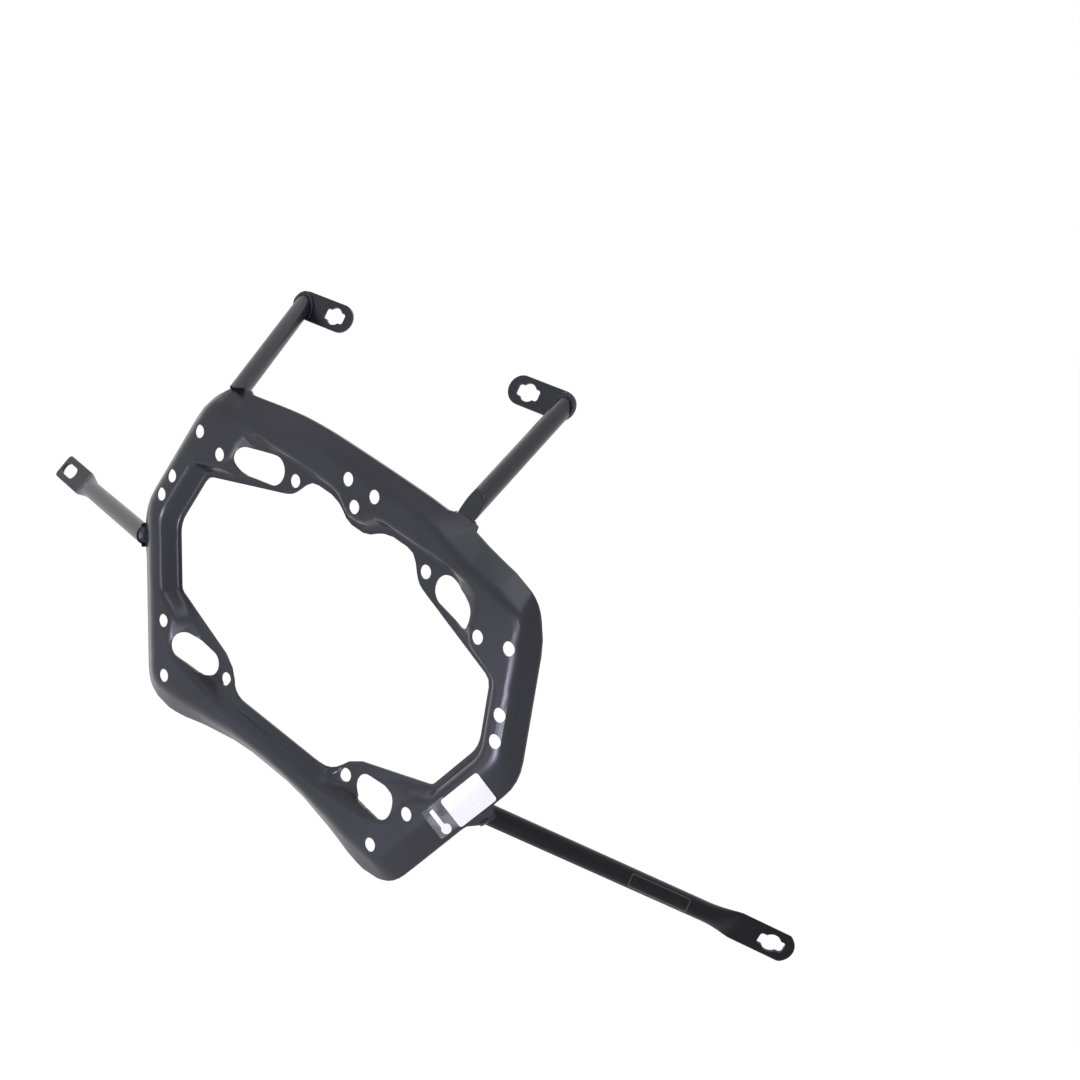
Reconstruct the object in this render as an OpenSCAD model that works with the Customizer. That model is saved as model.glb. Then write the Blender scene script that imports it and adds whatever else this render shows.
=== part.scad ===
// Side frame that carries a motorbike pannier: a pressed sheet ring with a
// recessed inner ledge, two tube arms with lug plates and two flattened struts.
// X runs along the bike, Y points inwards to the bike, Z is up.
// The flat outer face of the ring lies in the plane Y = 0.

/* [Ring] */
// Width of the ring between its outer edges at mid height
ring_w = 430; // [380:1:480]
// Height of the ring over the lower corners
ring_h = 292; // [260:1:330]
// Thickness of the pressed sheet
sheet_t = 1.5; // [1.2:0.1:2.5]
// How far the outer edge is turned back
flank_depth = 13; // [10:0.5:16]
// How far the inner ledge is set back
ledge_depth = 13.5; // [10:0.5:16]
// How far the short lip at the bottom of the opening is set back
lip_depth = 8; // [6:0.5:10]
// Diameter of the round fixing holes
hole_d = 11; // [8:0.5:12]
// Height of the two upper slots
upper_slot_h = 24.5; // [21:0.5:26]
// Height of the two lower slots
lower_slot_h = 21; // [18:0.5:23]

/* [Fixing holes] */
// Half the spacing of the case holes along the ring
case_hole_x = 146.5; // [140:0.5:150]
// Height of the upper case holes
case_hole_top = 69; // [66:0.5:72]
// Height of the lower case holes
case_hole_low = 86; // [83:0.5:89]

/* [Arms] */
// Outside diameter of all tubes
tube_d = 16; // [14:0.5:18]
// Wall of the tubes
tube_wall = 1.5; // [1.2:0.1:2.5]
// Length over which a tube is closed at the ring
closed_end = 50; // [45:1:60]
// Distance from the ring to the lug holes of the arms
arm_reach = 157; // [140:1:175]
// Spacing of the two lug holes
lug_spacing = 210; // [190:1:230]
// Rise of the line through the lug holes in degrees
lug_rise = 7.4; // [5:0.1:10]
// Lean of the lug plates in degrees
lug_lean = 18; // [12:1:24]
// Width of a lug plate
lug_w = 25; // [22:0.5:28]
// Thickness of a lug plate
lug_t = 3; // [2.5:0.5:4]
// Length from the lug hole to the tube
lug_reach = 36; // [33:0.5:40]

/* [Struts] */
// Length of the straight part of the long strut
long_len = 255; // [230:1:280]
// Length of the straight part of the short strut
short_len = 238; // [215:1:260]
// Thickness of the flattened strut ends
flat_t = 3; // [3:0.1:4.5]
// Width of the flattened strut ends
flat_w = 24.5; // [22:0.5:26]
// Length over which a strut end is pressed flat
press_len = 26; // [20:1:32]

/* [Tube tabs] */
// How far the sheet's edge stands out under a tube
tab_out = 7; // [0:0.5:9]
// Width of the straight part of a tab
tab_flat = 16; // [12:1:22]
// Length over which a tab runs back into the edge
tab_ramp = 9; // [6:1:14]

/* [Welds] */
// Width of a weld bead beside the tube
bead = 2.2; // [1.5:0.1:3]

/* [Hidden] */
sx = ring_w / 430;
sz = ring_h / 292;
tube_r = tube_d / 2;
bend_r = 5;
far = 30;

function unit(v) = v / norm(v);
function bezier(a, b, c, t) = (1 - t) * (1 - t) * a + 2 * t * (1 - t) * b + t * t * c;
function toward(a, b, d) = a + unit(b - a) * min(d, 0.45 * norm(b - a));
function ease(t) = let (u = min(max(t, 0), 1)) u * u * (3 - 2 * u);

// Direction of the line through the lug holes, and the plane of both lug plates
lug_u = [cos(lug_rise) * cos(4), cos(lug_rise) * sin(4), sin(lug_rise)];
lug_n = unit(cross([-sin(lug_lean) * sin(lug_rise), sin(lug_lean), cos(lug_lean)], lug_u));
lug_mid = [-102.7 * sx, arm_reach, 183.5 * sz];
left_hole = lug_mid - lug_u * lug_spacing / 2;
right_hole = lug_mid + lug_u * lug_spacing / 2;
left_end = left_hole - lug_u * lug_reach;
right_end = right_hole + lug_u * lug_reach;

// Where the middle of each tube meets the back of the sheet, and its direction
left_foot = [-154.2 * sx, sheet_t, 111.8 * sz];
left_d = unit(left_end - left_foot);
right_foot = [92 * sx, sheet_t, 129.9 * sz];
right_d = unit(right_end - right_foot);
long_foot = [178 * sx, sheet_t, -50.7 * sz];
long_d = unit([0.652, 0.736, -0.184]);
long_bend = long_foot + long_d * long_len;
long_q = unit([0.787, 0.606, -0.119]);
long_n = unit(cross(cross(long_q, [-0.611, 0.791, -0.01]), long_q));
short_foot = [-183.4 * sx, sheet_t, -32.9 * sz];
short_d = unit([-0.865, 0.443, -0.237]);
short_bend = short_foot + short_d * short_len;
short_q = unit([-0.957, 0.266, -0.113]);
short_n = unit(cross(cross(short_q, [0.285, 0.83, -0.475]), short_q));

// The edge of the sheet swells out to a tab where a tube crosses it.
// Each is the middle of the tab and the share of tab_out that it stands out.
tabs = [[left_foot + [-6, 0, 8], 0.7], [right_foot + [-3.5, 0, 6], 0.9],
        [long_foot + long_d * 31, 1], [short_foot + short_d * 27, 1]];

// The right half of the ring from the top middle to the bottom middle.
// Each row is one corner: edge, crest, top of the inner step, foot of the step
// and inner rim, each as X, Z and the length that its corner is rounded over.
half = [
  [[0, 135.4, 2], [0, 125, 2], [0, 90, 2], [0, 83.5, 2], [0, 79, 2]],
  [[10, 135.4, 3], [9, 125, 3], [7, 90, 4], [9, 83.5, 3], [10.5, 79, 4]],
  [[20, 135.4, 3], [18, 125, 3], [14.5, 97, 4], [19, 90, 4], [20, 85.5, 2]],
  [[31, 135.3, 3], [28, 124.8, 3], [24, 101.5, 5], [28, 96.3, 4], [30, 90.6, 5]],
  [[55, 135.1, 8], [50, 124.3, 8], [52, 101.8, 5], [54, 96.5, 5], [58, 90.6, 8]],
  [[85, 133.2, 12], [72, 122, 10], [80, 101.8, 5], [80, 96.5, 4], [71.5, 71, 7]],
  [[110, 129.5, 8], [100, 111, 14], [110, 101.4, 4], [100, 95.5, 6], [83, 66.8, 2]],
  [[135, 124.7, 5], [128, 106.6, 8], [127, 100, 6], [108, 88, 6], [96, 62.6, 2]],
  [[157, 120.9, 9], [150, 105, 5], [135, 91, 6], [110, 76, 6], [107, 58.9, 2]],
  [[175.5, 112.5, 14], [176, 102, 12], [137, 75, 4], [114, 64, 6], [118, 55.3, 2]],
  [[191, 90.5, 12], [182.4, 76, 3], [140, 60, 6], [136, 54, 4], [134, 50, 2]],
  [[202.8, 45, 6], [190.5, 45, 3], [172.8, 49, 6], [165.2, 44, 6], [162.1, 40.7, 6]],
  [[218.4, -15.1, 17], [203.3, -4.3, 13], [187.6, -8.2, 11], [179.3, -10.4, 10], [175.2, -9.6, 9]],
  [[191, -70, 6], [171.5, -68, 3], [158.7, -66, 5], [154, -61, 4], [150.2, -59.7, 3]],
  [[180, -92, 3], [160.5, -90, 3], [140, -75, 5], [136.5, -69.3, 4], [134, -65, 2]],
  [[164.5, -123.5, 8], [148, -115, 3], [136, -88, 5], [115, -77.5, 6], [118, -70.3, 2]],
  [[151, -150, 25], [136.3, -138.4, 12], [133.5, -101, 8], [110, -88, 6], [105, -74.5, 2]],
  [[128.5, -158, 8], [115, -136.2, 4], [122, -109, 7], [106, -97, 6], [93, -78.4, 2]],
  [[106, -155.5, 6], [97, -134.4, 4], [104, -110.5, 5], [97, -105, 4], [75, -84.3, 8]],
  [[78, -147.8, 4], [75, -132.2, 4], [84, -113, 5], [83, -108, 4], [66.5, -95, 2]],
  [[55, -143.3, 9], [52, -129.8, 6], [64, -116, 6], [66, -110.3, 5], [57.5, -104.5, 6]],
  [[33, -139, 12], [30, -127.6, 10], [44, -117, 6], [47, -110, 5], [46, -103.7, 4]],
  [[0, -138.8, 4], [0, -127, 4], [0, -117, 4], [0, -110, 4], [0, -103.7, 4]]
];
// Number of steps that the corner of each row is rounded with
round_steps = [0, 1, 1, 1, 2, 3, 1, 1, 1, 4, 2, 2, 4, 2, 1, 1, 4, 1, 1, 1, 2, 1, 0];
last = len(half) - 1;
loop_n = 2 * last;

function row(i) = let (k = (i + loop_n) % loop_n) k <= last ? k : loop_n - k;
function side(i) = (i + loop_n) % loop_n <= last ? 1 : -1;
function lip_share(i) = row(i) >= 21 ? 1 : row(i) == 20 ? 0.4 : 0;
function curve_depth(i, c) = c == 0 ? flank_depth : c < 3 ? 0 :
  ledge_depth + (lip_depth - (c == 3 ? 3 : 0) - ledge_depth) * lip_share(i);
function key(i, c) = let (v = half[row(i)][c]) [side(i) * v.x * sx, v.y * sz];

// Extra points after a corner, for the tabs that carry the tubes
function between(i) = let (k = (i + loop_n) % loop_n)
  k == 4 ? 1 : k == 5 ? 3 : k == 6 ? 1 : k == 12 ? 5 : k == 13 ? 1 : k == 31 ? 5 : k == 35 ? 3 : k == 36 ? 3 : 0;

// The points of one rounded corner of curve c, from the side before it to the side after it,
// and then those between it and the next corner
function corner(i, c) =
  let (n = round_steps[row(i)], p = key(i, c), d = half[row(i)][c].z,
       a = toward(p, key(i - 1, c), d), b = toward(p, key(i + 1, c), d), y = curve_depth(i, c))
  n == 0 ? [[p.x, y, p.y]] :
  [for (k = [0:n]) let (q = bezier(a, p, b, k / n)) [q.x, y, q.y]];
function corner_and_side(i, c) = let (m = between(i), now = corner(i, c), next = corner(i + 1, c),
    a = now[len(now) - 1], b = next[0])
  concat(now, m == 0 ? [] : [for (k = [1:m]) a + (b - a) * k / (m + 1)]);

// One list of points round the ring for each of the five curves
curves = [for (c = [0:4]) [for (i = [0:loop_n - 1]) each corner_and_side(i, c)]];
stations = len(curves[0]);

// How far the edge stands out for the tabs at point p, along the slope of the flank
function tab_at(p) = tab_out * max([for (t = tabs)
  t[1] * (1 - ease((norm([p.x - t[0].x, p.z - t[0].z]) - tab_flat / 2) / tab_ramp))]);

// The section across the sheet at station s, with its bends rounded
function bend(a, p, b, d, n) = let (u = toward(p, a, d), v = toward(p, b, d))
  [for (k = [0:n]) bezier(u, p, v, k / n)];
function section(s) = let (c = curves[1][s], e = curves[0][s] + unit(curves[0][s] - c) * tab_at(curves[0][s]), d = curves[2][s], w = curves[3][s], r = curves[4][s])
  concat([e], bend(e, c, d, 7, 4), bend(c, d, w, bend_r, 3), bend(d, w, r, 3.5, 3), [r]);
front = [for (s = [0:stations - 1]) section(s)];
across = len(front[0]);

// The slope of the sheet makes its other face lie deeper by more than the thickness
function at(s, j) = front[(s + stations) % stations][min(max(j, 0), across - 1)];
function normal(s, j) = unit(cross(at(s, j + 1) - at(s, j - 1), at(s + 1, j) - at(s - 1, j)));
function behind(s, j) = let (n = normal(s, j)) at(s, j) + [0, sheet_t / max(0.45, abs(n.y)), 0];
back = [for (s = [0:stations - 1]) [for (j = [0:across - 1]) behind(s, j)]];

function quad(a, b, c, d) = [[a, c, b], [a, d, c]];
function face_id(s, j, layer, n) = ((s % n) * across + j) * 2 + layer;

module ring_sheet() {
  points = [for (s = [0:stations - 1]) for (j = [0:across - 1]) each [front[s][j], back[s][j]]];
  faces = [for (s = [0:stations - 1]) each concat(
    [for (j = [0:across - 2]) each quad(face_id(s, j, 0, stations), face_id(s, j + 1, 0, stations),
      face_id(s + 1, j + 1, 0, stations), face_id(s + 1, j, 0, stations))],
    [for (j = [0:across - 2]) each quad(face_id(s, j, 1, stations), face_id(s + 1, j, 1, stations),
      face_id(s + 1, j + 1, 1, stations), face_id(s, j + 1, 1, stations))],
    quad(face_id(s, 0, 0, stations), face_id(s + 1, 0, 0, stations),
      face_id(s + 1, 0, 1, stations), face_id(s, 0, 1, stations)),
    quad(face_id(s, across - 1, 0, stations), face_id(s, across - 1, 1, stations),
      face_id(s + 1, across - 1, 1, stations), face_id(s + 1, across - 1, 0, stations)))];
  polyhedron(points = points, faces = faces, convexity = 8);
}

// The space in front of the sheet's inner face, between two rows of the ring.
// It can be raised, and it can run on past the outer and the inner edge.
function first_station(i) = i == 0 ? 0 : first_station(i - 1) + round_steps[row(i - 1)] + 1 + between(i - 1);
function fill_line(s, wide, lift, out, in) = let (b = back[(s + stations) % stations],
  e = b[0] + unit(b[0] - b[1]) * out, r = b[wide] - [sign(b[0].x) * in, 0, 0])
  [for (p = concat(out > 0 ? [e] : [], [for (j = [0:wide]) b[j]], in > 0 ? [r] : [])) p + [0, lift, 0]];

module fill(from, to, wide = across - 1, lift = 0, out = 0, in = 0, deep = 0) {
  rows = [for (s = [from:to]) fill_line(s, wide, lift, out, in)];
  m = len(rows[0]);
  n = len(rows);
  top = [for (r = rows) each r];
  points = concat(top, [for (p = top) [p.x, deep > 0 ? p.y - deep : -far, p.z]]);
  low = m * n;
  faces = concat(
    [for (a = [0:n - 2]) for (b = [0:m - 2]) each
      quad(a * m + b, a * m + m + b, a * m + m + b + 1, a * m + b + 1)],
    [for (a = [0:n - 2]) for (b = [0:m - 2]) each
      quad(low + a * m + b, low + a * m + b + 1, low + a * m + m + b + 1, low + a * m + m + b)],
    [for (b = [0:m - 2]) each quad(b, b + 1, low + b + 1, low + b)],
    [for (b = [0:m - 2]) each quad((n - 1) * m + b, low + (n - 1) * m + b,
      low + (n - 1) * m + b + 1, (n - 1) * m + b + 1)],
    [for (a = [0:n - 2]) each quad(a * m, low + a * m, low + a * m + m, a * m + m)],
    [for (a = [0:n - 2]) each quad(a * m + m - 1, a * m + 2 * m - 1,
      low + a * m + 2 * m - 1, low + a * m + m - 1)]);
  polyhedron(points = points, faces = faces, convexity = 6);
}

// Round holes and slots of the ring as X, Z
case_holes = [for (x = [-1, 1]) for (z = [case_hole_top, -case_hole_low]) [x * case_hole_x, z]];
other_holes = concat([for (x = [-1, 1]) each [[x * 174.7 * sx, 75.7 * sz], [x * 188.5 * sx, 28 * sz],
  [x * 193.3 * sx, 8.5 * sz], [x * 126.4 * sx, -127.5 * sz], [x * 74 * sx, 82 * sz],
  [x * 73 * sx, -100.5 * sz], [x * 14.6 * sx, 114.8 * sz]]], [[0, 98.5 * sz]]);
upper_slot = [[98.5 * sx, 79 * sz], [121.5 * sx, 74.5 * sz]];
lower_slot = [[95 * sx, -98 * sz], [121.5 * sx, -95.5 * sz]];

// Moves the part so that the four case holes are centred on the origin
module centred() {
  translate([0, 0, (case_hole_low - case_hole_top) / 2]) children();
}

module drill(p, d) {
  translate([p.x, -far, p.y]) rotate([-90, 0, 0]) cylinder(d = d, h = 3 * far, $fn = 48);
}

// A slot from a to b. Its flat sides lie a hair inside its round ends.
slot_hair = 0.03;
module slot_cut(a, b, w) {
  v = b - a;
  drill(a, w);
  drill(b, w);
  translate([a.x, -far, a.y]) rotate([0, -atan2(v.y, v.x), 0])
    translate([0, 0, slot_hair - w / 2]) cube([norm(v), 3 * far, w - 2 * slot_hair]);
}

module ring() {
  color("#3b3b40") centred() difference() {
    ring_sheet();
    for (p = concat(case_holes, other_holes)) drill(p, hole_d);
    for (x = [-1, 1]) {
      slot_cut([x * upper_slot[0].x, upper_slot[0].y], [x * upper_slot[1].x, upper_slot[1].y], upper_slot_h);
      slot_cut([x * lower_slot[0].x, lower_slot[0].y], [x * lower_slot[1].x, lower_slot[1].y], lower_slot_h);
    }
  }
}

// Places its children with X along u, Y along n and its origin at o
module at_frame(o, u, n) {
  w = cross(u, n);
  multmatrix([[u.x, n.x, w.x, o.x], [u.y, n.y, w.y, o.y], [u.z, n.z, w.z, o.z], [0, 0, 0, 1]]) children();
}

// A round bar from a to b
module bar(a, b, r) {
  v = b - a;
  translate(a) rotate([0, acos(v.z / norm(v)), atan2(v.y, v.x)]) cylinder(r = r, h = norm(v), $fn = 64);
}

// Places its children where a lug is, with X pointing from the tube to the lug's tip
module at_lug(side) {
  if (side < 0) at_frame(left_hole, lug_u, lug_n) children();
  else at_frame(right_hole, -lug_u, lug_n) children();
}

module lug_outline(h) {
  r = lug_w / 2;
  tip = 19 - r;
  foot = -lug_reach - 10 + r;
  for (x = [tip, foot]) translate([x, 0, 0]) rotate([-90, 0, 0]) cylinder(r = r, h = h, $fn = 64);
  translate([foot, 0, -r]) cube([tip - foot, h, lug_w]);
}

// A keyed hole: a round hole of radius r crossed by a slot whose corners have radius c
module keyed_cut(long, w, r, c) {
  translate([0, -10, 0]) rotate([-90, 0, 0]) cylinder(r = r, h = 20, $fn = 48);
  translate([-long / 2, -10, c - w / 2]) cube([long, 20, w - 2 * c]);
  translate([c - long / 2, -10, -w / 2]) cube([long - 2 * c, 20, w]);
  for (x = [c - long / 2, long / 2 - c]) for (z = [c - w / 2, w / 2 - c])
    translate([x, -10, z]) rotate([-90, 0, 0]) cylinder(r = c, h = 20, $fn = 32);
}

module lug(side) {
  color("#3a3a3f") centred() at_lug(side) difference() {
    translate([0, -lug_t / 2, 0]) lug_outline(lug_t);
    keyed_cut(21.5, 9.5, 7.8, 2.4);
  }
}

module arm(side, foot, end, from, to, out) {
  d = unit(end - foot);
  start = foot - d * 14;
  color("#36363b") centred() difference() {
    bar(start, end + d * 20, tube_r);
    bar(foot + d * closed_end, end + d * 21, tube_r - tube_wall);
    fill(from, to, flank_cols, out = out);
    at_lug(side) translate([-lug_reach - 40, -lug_t / 2, -40]) cube([80, 60, 80]);
  }
}

// A bead round a tube on the back of the sheet. It can wrap round the sheet's edge.
module seat_weld(foot, d, from, to, wrap, cut) {
  color("#323237") centred() difference() {
    intersection() {
      bar(foot - d * 22, foot + d * 60, tube_r + bead);
      fill(from, to, flank_cols + 3, lift = bead, out = wrap, deep = sheet_t + bead + 5);
    }
    bar(foot - d * 24, foot + d * 61, tube_r);
    fill(from, to, flank_cols + 3, out = cut, in = 20);
  }
}

module lug_weld(side, foot, end) {
  d = unit(end - foot);
  color("#323237") centred() difference() {
    intersection() {
      bar(end - d * 30, end + d * 30, tube_r + bead);
      at_lug(side) translate([0, -lug_t / 2 - 2, 0]) lug_outline(2);
    }
    bar(end - d * 31, end + d * 31, tube_r);
  }
}

// One ring of points round a strut end: a circle that is pressed into a flat bar.
// g is 0 where it is round and 1 where it is flat.
sides = 32;
function flat_point(k) = let (e = flat_t / 2, w = flat_w / 2 - e, q = sides / 4, h = floor((k + q / 2) / q) % 4,
    f = (k + q / 2) % q / q)
  h == 0 ? [w + e * cos(180 * f - 90), e * sin(180 * f - 90)] :
  h == 1 ? [w - 2 * w * f, e] :
  h == 2 ? [-w + e * cos(180 * f + 90), e * sin(180 * f + 90)] : [-w + 2 * w * f, -e];
function round_point(k) = (tube_r - 0.05) * [cos(360 * k / sides), sin(360 * k / sides)];
function press_ring(o, t, n, g) = let (m = unit(n - t * (n * t)), w = cross(t, m))
  [for (k = [0:sides - 1]) let (p = round_point(k) * (1 - g) + flat_point(k) * g) o + w * p.x + m * p.y];

module strut_end(d, bend, q, n, reach) {
  a = bend - d * press_len;
  b = bend + q * 7;
  steps = 7;
  rings = concat([press_ring(a - d, d, n, 0)],
    [for (k = [0:steps]) let (t = k / steps, c = bezier(a, bend, b, t), dir = unit((1 - t) * (bend - a) + t * (b - bend)))
      press_ring(c, dir, n, ease(t * 1.08))],
    [press_ring(bend + q * (reach + 4), q, n, 1)]);
  m = len(rings);
  polyhedron(points = [for (r = rings) each r], convexity = 4, faces = concat(
    [for (i = [0:m - 2]) for (k = [0:sides - 1]) let (l = (k + 1) % sides) each
      quad(i * sides + k, (i + 1) * sides + k, (i + 1) * sides + l, i * sides + l)],
    [[for (k = [sides - 1:-1:0]) k]],
    [[for (k = [0:sides - 1]) (m - 1) * sides + k]]));
}

// A strut: a tube whose outer end is pressed flat, bent and given a hole.
// hole is the distance from the bend to the hole, tip from the hole to the end.
// cut gives the sizes of the hole.
// A small drain hole faces the bike near the flat end.
module strut(foot, d, bend, q, n, hole, tip, corner, cut, from, to) {
  start = foot - d * 18;
  pinch = bend - d * press_len;
  drain = pinch - d * 14;
  w = flat_w / 2 + 0.4 - min(corner, flat_w / 2 + 0.4);
  color("#2c2c31") centred() difference() {
    union() {
      bar(start, pinch, tube_r);
      intersection() {
        strut_end(d, bend, q, n, hole + tip);
        at_frame(bend, q, n) union() {
          translate([-60, -30, -flat_w]) cube([60 + hole + tip - corner, 60, 2 * flat_w]);
          if (w > 0) translate([0, -30, -w]) cube([hole + tip, 60, 2 * w]);
          for (z = w > 0 ? [-w, w] : [0]) translate([hole + tip - corner, -30, z])
            rotate([-90, 0, 0]) cylinder(r = corner, h = 60, $fn = 64);
        }
      }
    }
    bar(foot + d * closed_end, pinch - d * 3, tube_r - tube_wall);
    bar(drain, drain + unit([0, 1, 0] - d * d.y) * tube_d, 2);
    fill(from, to, in = 20);
    at_frame(bend + q * hole, q, n) keyed_cut(cut[0], cut[1], cut[2], cut[3]);
  }
}

// Stations of the ring between which each tube meets it
flank_cols = 6;
left_from = first_station(loop_n - 10);
left_to = first_station(loop_n - 7);
right_from = first_station(4);
right_to = first_station(7);
long_from = first_station(12) + 2;
long_to = first_station(15);
short_from = first_station(loop_n - 14);
short_to = first_station(loop_n - 12) + 3;

module left_arm() { arm(-1, left_foot, left_end, left_from, left_to, 0); }
module right_arm() { arm(1, right_foot, right_end, right_from, right_to, 30); }
module left_lug() { lug(-1); }
module right_lug() { lug(1); }
module short_strut() {
  strut(short_foot, short_d, short_bend, short_q, short_n, 39, 16.5, 5, [26, 12, 6, 5.7], short_from, short_to);
}
module long_strut() {
  strut(long_foot, long_d, long_bend, long_q, long_n, 37, 19.5, flat_w / 2 + 0.8, [22.5, 9.5, 7.8, 2.4],
    long_from, long_to);
}
module left_arm_weld() { seat_weld(left_foot, left_d, left_from, left_to, 0, 30); }
module right_arm_weld() { seat_weld(right_foot, right_d, right_from, right_to, 0, 30); }
module short_strut_weld() { seat_weld(short_foot, short_d, short_from, short_to, 1.8, 0); }
module long_strut_weld() { seat_weld(long_foot, long_d, long_from, long_to, 1.8, 0); }
module left_lug_weld() { lug_weld(-1, left_foot, left_end); }
module right_lug_weld() { lug_weld(1, right_foot, right_end); }

ring();
left_arm();
right_arm();
left_lug();
right_lug();
short_strut();
long_strut();
left_arm_weld();
right_arm_weld();
left_lug_weld();
right_lug_weld();
short_strut_weld();
long_strut_weld();
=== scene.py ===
import math
import bpy
from mathutils import Matrix, Vector


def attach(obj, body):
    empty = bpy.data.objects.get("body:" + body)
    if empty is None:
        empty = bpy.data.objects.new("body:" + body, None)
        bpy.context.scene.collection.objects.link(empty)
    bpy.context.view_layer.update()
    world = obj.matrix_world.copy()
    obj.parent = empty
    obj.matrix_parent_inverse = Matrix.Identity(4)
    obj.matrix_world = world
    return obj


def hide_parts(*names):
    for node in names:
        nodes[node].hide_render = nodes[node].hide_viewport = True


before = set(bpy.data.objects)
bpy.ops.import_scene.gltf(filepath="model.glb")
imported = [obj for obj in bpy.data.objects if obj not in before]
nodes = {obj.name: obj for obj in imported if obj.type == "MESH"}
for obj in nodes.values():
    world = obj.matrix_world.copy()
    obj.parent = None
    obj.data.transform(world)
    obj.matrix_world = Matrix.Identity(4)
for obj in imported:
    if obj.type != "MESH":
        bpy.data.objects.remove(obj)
scene = bpy.context.scene
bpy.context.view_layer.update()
scene.view_settings.view_transform = "Standard"
print("frame loaded:", len(nodes), "nodes")


# one shader graph: a node from its type, and sums written as plain expressions
class Wire:
    def __init__(self, graph, socket):
        self.graph = graph
        self.socket = socket

    def combine(self, operation, *values):
        return self.graph.node("ShaderNodeMath", {"operation": operation}, dict(enumerate(values)))

    def __add__(self, other):
        return self.combine("ADD", self, other)

    def __radd__(self, other):
        return self.combine("ADD", other, self)

    def __mul__(self, other):
        return self.combine("MULTIPLY", self, other)

    def __rmul__(self, other):
        return self.combine("MULTIPLY", other, self)


class Graph:
    def __init__(self, name, roughness, **shader):
        self.material = bpy.data.materials.new(name)
        self.material.use_nodes = True
        self.tree = self.material.node_tree
        self.shader = self.tree.nodes["Principled BSDF"]
        self.shader.inputs["Roughness"].default_value = roughness
        for socket, value in shader.items():
            self.shader.inputs[socket.replace("_", " ")].default_value = value
        self.place = self.node("ShaderNodeTexCoord", out="Object")

    def node(self, kind, settings=None, inputs=None, out=0):
        made = self.tree.nodes.new(kind)
        for key, value in (settings or {}).items():
            setattr(made, key, value)
        for key, value in (inputs or {}).items():
            self.feed(made.inputs[key], value)
        return Wire(self, made.outputs[out])

    def feed(self, socket, value):
        if isinstance(value, Wire):
            self.tree.links.new(value.socket, socket)
        else:
            socket.default_value = value

    def noise(self, scale, detail=3.0, roughness=0.5):
        return self.node("ShaderNodeTexNoise", {},
                         {"Vector": self.place, "Scale": scale, "Detail": detail, "Roughness": roughness})

    def ramp(self, factor, low, high):
        return self.node("ShaderNodeMapRange", {"interpolation_type": "SMOOTHSTEP"},
                         {"Value": factor, "From Min": low, "From Max": high})

    def mixColor(self, factor, first, second):
        return self.node("ShaderNodeMix", {"data_type": "RGBA"},
                         {0: factor, 6: first, 7: second}, out=2)

    def bump(self, height, strength, distance):
        return self.node("ShaderNodeBump", {},
                         {"Height": height, "Strength": strength, "Distance": distance})

    def set(self, socket, value):
        self.feed(self.shader.inputs[socket], value)


# camera: where the photograph was taken from, in the frame of the row
camera = {
    "place": (0.802, -1.039, 0.5795),
    "right": (0.72655, 0.58688, 0.35734),
    "up": (-0.47636, 0.05544, 0.87750),
    "lens": 60.8,
    "filmWidth": 36,
    "nearest": 0.05,
    "farthest": 50,
}
right = Vector(camera["right"]).normalized()
up = (Vector(camera["up"]) - right * right.dot(Vector(camera["up"]))).normalized()


def addCamera():
    data = bpy.data.cameras.new("photoCamera")
    data.lens = camera["lens"]
    data.sensor_width = camera["filmWidth"]
    data.clip_start = camera["nearest"]
    data.clip_end = camera["farthest"]
    turned = Matrix((right, up, right.cross(up))).transposed().to_4x4()
    made = bpy.data.objects.new("photoCamera", data)
    scene.collection.objects.link(made)
    made.matrix_world = Matrix.Translation(camera["place"]) @ turned
    scene.camera = made


addCamera()
print("camera set")


# studio: a pale floor well below the frame, soft boxes and a white surround
studio = {
    "floorHeight": -0.42,
    "floorSize": 14,
    "fill": 0.36,
    "floorShare": 0.86,
    "floorGlow": 1.115,
    "floorColor": (0.9, 0.9, 0.9, 1),
    "floorRoughness": 0.9,
    "boxes": [
        # name, place, aim, width, height, watts, colour
        ("lowBox", (0.08, -0.95, -0.33), (0.0, 0.0, 0.0), 0.36, 0.16, 7, (0.90, 0.88, 1.0)),
        ("frontBox", (0.25, -1.08, 0.1), (0.0, 0.0, 0.0), 0.3, 0.3, 2.2, (0.94, 0.93, 1.0)),
        ("topBox", (0.0, -0.6, 1.0), (0.0, 0.0, 0.0), 0.6, 0.5, 2.2, (0.97, 0.96, 1.0)),
        ("backBox", (-0.9, 1.2, 0.6), (0.0, 0.0, 0.0), 1.0, 1.0, 3, (1.0, 1.0, 1.0)),
    ],
}


# 1 for rays that show the background: to the camera, through film and in reflections
def seenRays(tree):
    path = tree.nodes.new("ShaderNodeLightPath")
    direct = tree.nodes.new("ShaderNodeMath")
    direct.operation = "MAXIMUM"
    tree.links.new(path.outputs["Is Camera Ray"], direct.inputs[0])
    tree.links.new(path.outputs["Is Transmission Ray"], direct.inputs[1])
    seen = tree.nodes.new("ShaderNodeMath")
    seen.operation = "MAXIMUM"
    tree.links.new(direct.outputs[0], seen.inputs[0])
    tree.links.new(path.outputs["Is Glossy Ray"], seen.inputs[1])
    return seen.outputs[0]


def addWorld():
    world = bpy.data.worlds.new("studioWorld")
    scene.world = world
    world.use_nodes = True
    tree = world.node_tree
    shade = tree.nodes["Background"]
    shade.inputs["Color"].default_value = (1, 1, 1, 1)
    level = tree.nodes.new("ShaderNodeMapRange")
    level.inputs["To Min"].default_value = studio["fill"]
    level.inputs["To Max"].default_value = 1.0
    tree.links.new(seenRays(tree), level.inputs["Value"])
    tree.links.new(level.outputs[0], shade.inputs["Strength"])


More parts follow.
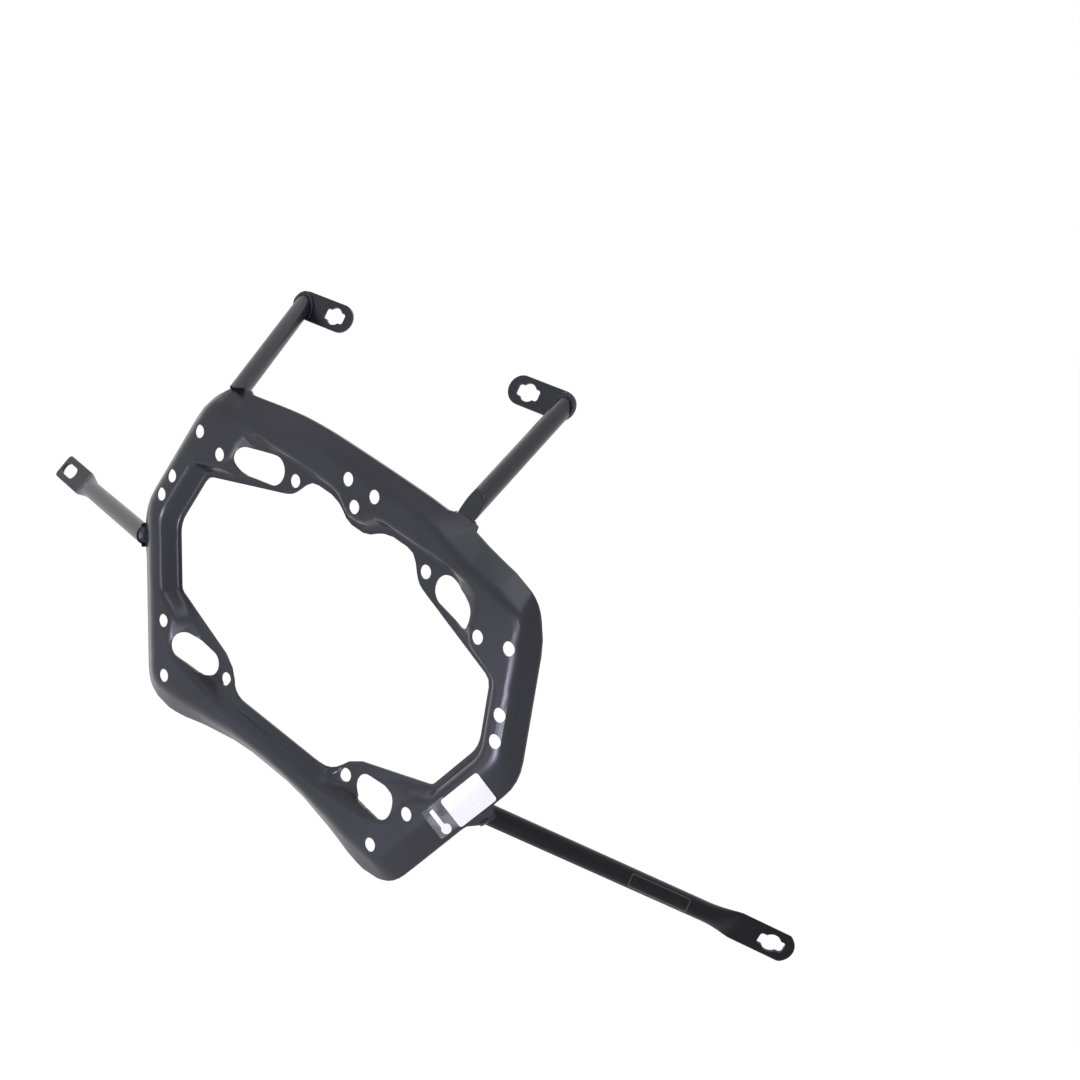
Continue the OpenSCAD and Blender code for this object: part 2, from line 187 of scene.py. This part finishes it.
def addFloor():
    bpy.ops.object.select_all(action="DESELECT")
    bpy.ops.mesh.primitive_plane_add(size=studio["floorSize"], location=(0, 0, studio["floorHeight"]))
    floor = bpy.context.active_object
    floor.name = "studioFloor"
    paper = bpy.data.materials.new("floorPaper")
    paper.use_nodes = True
    tree = paper.node_tree
    base = tree.nodes["Principled BSDF"]
    base.inputs["Base Color"].default_value = studio["floorColor"]
    base.inputs["Roughness"].default_value = studio["floorRoughness"]
    base.inputs["Specular IOR Level"].default_value = 0.0
    glow = tree.nodes.new("ShaderNodeEmission")
    glow.inputs["Strength"].default_value = studio["floorGlow"]
    seen = seenRays(tree)
    share = tree.nodes.new("ShaderNodeMath")
    share.operation = "MULTIPLY"
    share.inputs[1].default_value = studio["floorShare"]
    blend = tree.nodes.new("ShaderNodeMixShader")
    tree.links.new(seen, share.inputs[0])
    tree.links.new(share.outputs[0], blend.inputs[0])
    tree.links.new(base.outputs[0], blend.inputs[1])
    tree.links.new(glow.outputs[0], blend.inputs[2])
    tree.links.new(blend.outputs[0], tree.nodes["Material Output"].inputs[0])
    floor.data.materials.append(paper)


def addBox(name, place, aim, width, height, watts, color):
    light = bpy.data.lights.new(name, "AREA")
    light.shape = "RECTANGLE"
    light.size = width
    light.size_y = height
    light.energy = watts
    light.color = color
    made = bpy.data.objects.new(name, light)
    scene.collection.objects.link(made)
    made.visible_camera = False
    made.location = place
    made.rotation_mode = "QUATERNION"
    made.rotation_quaternion = (Vector(aim) - Vector(place)).to_track_quat("-Z", "Y")


addWorld()
addFloor()
for box in studio["boxes"]:
    addBox(*box)
print("studio lit")


# powder coat: near-black satin paint with a fine orange peel and a little mottling
coat = {
    "ringDark": (0.010, 0.010, 0.014, 1),
    "ringPale": (0.018, 0.018, 0.025, 1),
    "tubeDark": (0.009, 0.009, 0.015, 1),
    "tubePale": (0.017, 0.017, 0.026, 1),
    # the long strut's tones: the same paint made darker, as painted shade for the strut
    "strutShadedDark": (0.003, 0.003, 0.004, 1),
    "strutShadedPale": (0.006, 0.006, 0.009, 1),
    "roughness": 0.28,
    "specular": 0.45,
    "strutSpecular": 0.22,
    "sheen": (0.90, 0.89, 1.0, 1),
    "weldRougher": 0.08,
    "cloudScale": 14,
    "grainScale": 2600,
    "peelScale": 700,
    "peelDepth": 0.00002,
    "peelStrength": 0.25,
}


def powderCoat(name, dark, pale, roughness, specular):
    graph = Graph(name, roughness, Specular_IOR_Level=specular, Specular_Tint=coat["sheen"])
    cloud = graph.noise(coat["cloudScale"], 4, 0.6)
    grain = graph.noise(coat["grainScale"], 2)
    peel = graph.noise(coat["peelScale"], 2)
    tone = graph.ramp(cloud * 0.8 + grain * 0.2, 0.3, 0.7)
    graph.set("Base Color", graph.mixColor(tone, dark, pale))
    graph.set("Roughness", roughness - 0.03 + cloud * 0.05 + grain * 0.04)
    graph.set("Normal", graph.bump(peel + grain * 0.2, coat["peelStrength"], coat["peelDepth"]))
    return graph.material


satin = coat["roughness"]
ringCoat = powderCoat("ringCoat", coat["ringDark"], coat["ringPale"], satin, coat["specular"])
tubeCoat = powderCoat("tubeCoat", coat["tubeDark"], coat["tubePale"], satin, coat["specular"])
# the long strut wears a darker copy of the same paint, as painted shade
strutShadedCoat = powderCoat("strutShadedCoat", coat["strutShadedDark"], coat["strutShadedPale"], satin, coat["strutSpecular"])
weldCoat = powderCoat("weldCoat", coat["tubeDark"], coat["tubePale"], satin + coat["weldRougher"],
                      coat["specular"])
print("coats mixed")


# finished copies of the solids: welded points, rounded rims and soft normals
finish = {
    "joinWithin": 0.000004,
    "flatAngle": 0.4,
    "rim": 0.0003,
    "rimSteps": 2,
    "rimAngle": 50,
    "softAngle": 38,
    "normalWeight": 60,
    "voxel": 0.0006,
    "armRounds": 14,
}
bead = {
    "voxel": 0.0004,
    "rounds": 4,
    "ripple": 0.0008,
    "rippleSize": 0.0022,
    "rippleMiddle": 0.3,
    # laid over the cut side of a tube: middle, way along the tube, radii along and across
    "caps": {"short_strut_weld": ((-0.2124, 0.0164, -0.0323), (-0.865, 0.443, -0.237), 0.006, 0.0079)},
}


def soleSelect(piece):
    bpy.ops.object.select_all(action="DESELECT")
    piece.select_set(True)
    bpy.context.view_layer.objects.active = piece


def applyAll(piece):
    soleSelect(piece)
    for modifier in list(piece.modifiers):
        bpy.ops.object.modifier_apply(modifier=modifier.name)


def looseCopy(node, name):
    soleSelect(nodes[node])
    bpy.ops.object.duplicate()
    piece = bpy.context.active_object
    piece.name = name
    for key in list(piece.keys()):
        del piece[key]
    piece.parent = None
    piece.matrix_world = Matrix.Identity(4)
    bpy.ops.object.mode_set(mode="EDIT")
    bpy.ops.mesh.select_all(action="SELECT")
    bpy.ops.mesh.remove_doubles(threshold=finish["joinWithin"])
    bpy.ops.mesh.customdata_custom_splitnormals_clear()
    bpy.ops.object.mode_set(mode="OBJECT")
    return piece


def dress(piece, material, slot, *replaced):
    piece.data.materials.clear()
    piece.data.materials.append(material)
    if replaced:
        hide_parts(*replaced)
    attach(piece, "root")


def finishedCopy(node, name, material, slot, rim=None):
    piece = looseCopy(node, name)
    bpy.ops.object.mode_set(mode="EDIT")
    bpy.ops.mesh.select_all(action="SELECT")
    bpy.ops.mesh.dissolve_limited(angle_limit=math.radians(finish["flatAngle"]))
    bpy.ops.object.mode_set(mode="OBJECT")
    bpy.ops.object.shade_smooth_by_angle(angle=math.radians(finish["softAngle"]))
    if rim:
        bevel = piece.modifiers.new("rim", "BEVEL")
        bevel.width = rim
        bevel.segments = finish["rimSteps"]
        bevel.limit_method = "ANGLE"
        bevel.angle_limit = math.radians(finish["rimAngle"])
        bevel.use_clamp_overlap = True
        bevel.harden_normals = True
    weigh = piece.modifiers.new("weigh", "WEIGHTED_NORMAL")
    weigh.keep_sharp = True
    weigh.weight = finish["normalWeight"]
    applyAll(piece)
    dress(piece, material, slot, node)
    return piece


# an ellipsoid joined to a bead, which the remesh then melts into it
def addCap(piece, middle, run, along, across):
    bpy.ops.object.select_all(action="DESELECT")
    bpy.ops.mesh.primitive_uv_sphere_add(segments=32, ring_count=16, radius=1)
    cap = bpy.context.active_object
    cap.scale = (across, across, along)
    cap.rotation_mode = "QUATERNION"
    cap.rotation_quaternion = Vector(run).to_track_quat("Z", "Y")
    cap.location = middle
    bpy.ops.object.transform_apply(location=True, rotation=True, scale=True)
    piece.select_set(True)
    bpy.context.view_layer.objects.active = piece
    bpy.ops.object.join()


# a copy with its facets melted together, and a weld's ripple where one is given
def softCopy(node, name, material, slot, voxel, rounds, ripple=0):
    piece = looseCopy(node, name)
    if node in bead["caps"]:
        addCap(piece, *bead["caps"][node])
    remesh = piece.modifiers.new("remesh", "REMESH")
    remesh.mode = "VOXEL"
    remesh.voxel_size = voxel
    soften = piece.modifiers.new("soften", "SMOOTH")
    soften.factor = 0.5
    soften.iterations = rounds
    if ripple:
        cloud = bpy.data.textures.new(name + "Ripple", "CLOUDS")
        cloud.noise_scale = bead["rippleSize"]
        wave = piece.modifiers.new("ripple", "DISPLACE")
        wave.texture = cloud
        wave.strength = ripple
        wave.mid_level = bead["rippleMiddle"]
    applyAll(piece)
    bpy.ops.object.shade_smooth_by_angle(angle=math.radians(finish["softAngle"]))
    dress(piece, material, slot, node)


# smooths the points that lie near one place
def easeCorner(piece, middle, reach, rounds):
    soleSelect(piece)
    bpy.ops.object.mode_set(mode="EDIT")
    bpy.ops.mesh.select_mode(type="VERT")
    bpy.ops.mesh.select_all(action="DESELECT")
    bpy.ops.object.mode_set(mode="OBJECT")
    for vertex in piece.data.vertices:
        vertex.select = (vertex.co - Vector(middle)).length < reach
    bpy.ops.object.mode_set(mode="EDIT")
    bpy.ops.mesh.vertices_smooth(factor=0.5, repeat=rounds)
    bpy.ops.object.mode_set(mode="OBJECT")


# places on the rim of the opening that run on smoothly, with the reach and the rounds
ease = {"corners": ((-0.057, 0.0105, -0.096), (0.057, 0.0105, -0.096)), "reach": 0.011, "rounds": 12}
ringShell = finishedCopy("ring", "ringShell", ringCoat, "ring_coat", finish["rim"])
for corner in ease["corners"]:
    easeCorner(ringShell, corner, ease["reach"], ease["rounds"])
for node in ("left_arm", "right_arm"):
    softCopy(node, node + "_tube", tubeCoat, "tube_coat", finish["voxel"], finish["armRounds"])
for node in ("left_lug", "right_lug"):
    finishedCopy(node, node + "_plate", tubeCoat, "tube_coat", finish["rim"])
finishedCopy("short_strut", "shortStrutTube", tubeCoat, "tube_coat")
longTube = finishedCopy("long_strut", "longStrutTube", strutShadedCoat, "tube_coat")
print("panel and tubes finished")


# weld beads: each solid bead rounded over and rippled under the paint
for node in ("left_arm_weld", "right_arm_weld", "left_lug_weld", "right_lug_weld",
             "short_strut_weld", "long_strut_weld"):
    softCopy(node, node + "_seam", weldCoat, "weld_coat", bead["voxel"], bead["rounds"], bead["ripple"])
print("welds rippled")


# stickers: thin patches pressed on to the coat, as seen from the camera's side
sticker = {
    "lift": 0.00012,
    "thick": 0.0001,
    "cuts": 11,
    "cornerSteps": 6,
    "startAbove": 0.03,
    "softAngle": 40,
    "labelRun": (-0.452, 0.0, -0.892),
    "badgeRun": (0.652, 0.736, -0.184),
    "label": {"middle": (0.1898, 0.0046, -0.0372), "size": (0.0340, 0.0250), "corner": 0.0022},
    "film": {"middle": (0.1752, 0.0035, -0.0625), "size": (0.0200, 0.0250), "corner": 0.0018},
    "bar": {"middle": (0.1715, 0.0035, -0.0655), "size": (0.0034, 0.0150), "corner": 0.0010},
    "disc": {"middle": (0.1790, 0.0090, -0.0708), "size": (0.0078, 0.0078), "corner": 0.0038},
    "badgeEdge": {"middle": (0.3038, 0.1320, -0.0738), "size": (0.0490, 0.0108), "corner": 0.0013},
    "badge": {"middle": (0.3038, 0.1320, -0.0738), "size": (0.0474, 0.0092), "corner": 0.0009},
}


def patch(name, key, run, target, material, slot, lift):
    size = sticker[key]
    middle = Vector(size["middle"])
    toward = (Vector(camera["place"]) - middle).normalized()
    across = (run - toward * run.dot(toward)).normalized()
    bpy.ops.object.select_all(action="DESELECT")
    bpy.ops.mesh.primitive_plane_add(size=1)
    piece = bpy.context.active_object
    piece.name = name
    bpy.ops.object.mode_set(mode="EDIT")
    bpy.ops.mesh.select_all(action="SELECT")
    bpy.ops.transform.resize(value=(size["size"][0], size["size"][1], 1))
    bpy.ops.mesh.bevel(affect="VERTICES", offset=size["corner"], segments=sticker["cornerSteps"])
    bpy.ops.mesh.quads_convert_to_tris()
    bpy.ops.mesh.subdivide(number_cuts=sticker["cuts"])
    bpy.ops.object.mode_set(mode="OBJECT")
    turned = Matrix((across, toward.cross(across), toward)).transposed().to_4x4()
    piece.matrix_world = Matrix.Translation(middle + toward * sticker["startAbove"]) @ turned
    soleSelect(piece)
    wrap = piece.modifiers.new("wrap", "SHRINKWRAP")
    wrap.target = target
    wrap.wrap_method = "PROJECT"
    wrap.use_negative_direction = True
    wrap.use_positive_direction = False
    wrap.offset = lift
    skin = piece.modifiers.new("skin", "SOLIDIFY")
    skin.thickness = sticker["thick"]
    skin.offset = 1
    applyAll(piece)
    bpy.ops.object.transform_apply(location=True, rotation=True, scale=True)
    bpy.ops.object.shade_smooth_by_angle(angle=math.radians(sticker["softAngle"]))
    dress(piece, material, slot)


def paperWhite():
    graph = Graph("labelPaper", 0.42, Specular_IOR_Level=0.4)
    fibre = graph.ramp(graph.noise(900, 3), 0.35, 0.65)
    graph.set("Base Color", graph.mixColor(fibre, (0.80, 0.80, 0.81, 1), (0.86, 0.86, 0.87, 1)))
    return graph.material


def clearFilm():
    graph = Graph("labelFilm", 0.16, Base_Color=(0.62, 0.62, 0.66, 1), Specular_IOR_Level=0.5)
    graph.set("Alpha", 0.05 + graph.ramp(graph.noise(90, 3), 0.35, 0.8) * 0.16)
    return graph.material


# the badge's rim: a border lighter than the badge, as painted highlight along its edge, mottled at random
def badgeRim():
    graph = Graph("badgeRim", 0.2, Specular_IOR_Level=0.7)
    rimHighlightMottle = graph.ramp(graph.noise(300, 3), 0.4, 0.7)
    graph.set("Base Color", graph.mixColor(rimHighlightMottle, (0.02, 0.024, 0.03, 1), (0.05, 0.055, 0.07, 1)))
    return graph.material


def badgeBlack():
    graph = Graph("badgeVinyl", 0.1, Specular_IOR_Level=0.2)
    dust = graph.ramp(graph.noise(500, 3), 0.4, 0.7)
    graph.set("Base Color", graph.mixColor(dust, (0.004, 0.004, 0.005, 1), (0.008, 0.008, 0.010, 1)))
    return graph.material


# a patch that lies on another has the greater lift
white = paperWhite()
labelRun = Vector(sticker["labelRun"])
badgeRun = Vector(sticker["badgeRun"])
patch("filmPatch", "film", labelRun, ringShell, clearFilm(), "ring_coat", sticker["lift"])
patch("labelPatch", "label", labelRun, ringShell, white, "ring_coat", sticker["lift"] * 2)
patch("barPatch", "bar", labelRun, ringShell, white, "ring_coat", sticker["lift"] * 3)
patch("discPatch", "disc", labelRun, ringShell, white, "ring_coat", sticker["lift"] * 3)
# the rim under the badge shows as a lighter edge: painted highlight
patch("badgeEdgePatch", "badgeEdge", badgeRun, longTube, badgeRim(), "tube_coat", sticker["lift"])
patch("badgePatch", "badge", badgeRun, longTube, badgeBlack(), "tube_coat", sticker["lift"] * 2)
print("stickers laid")
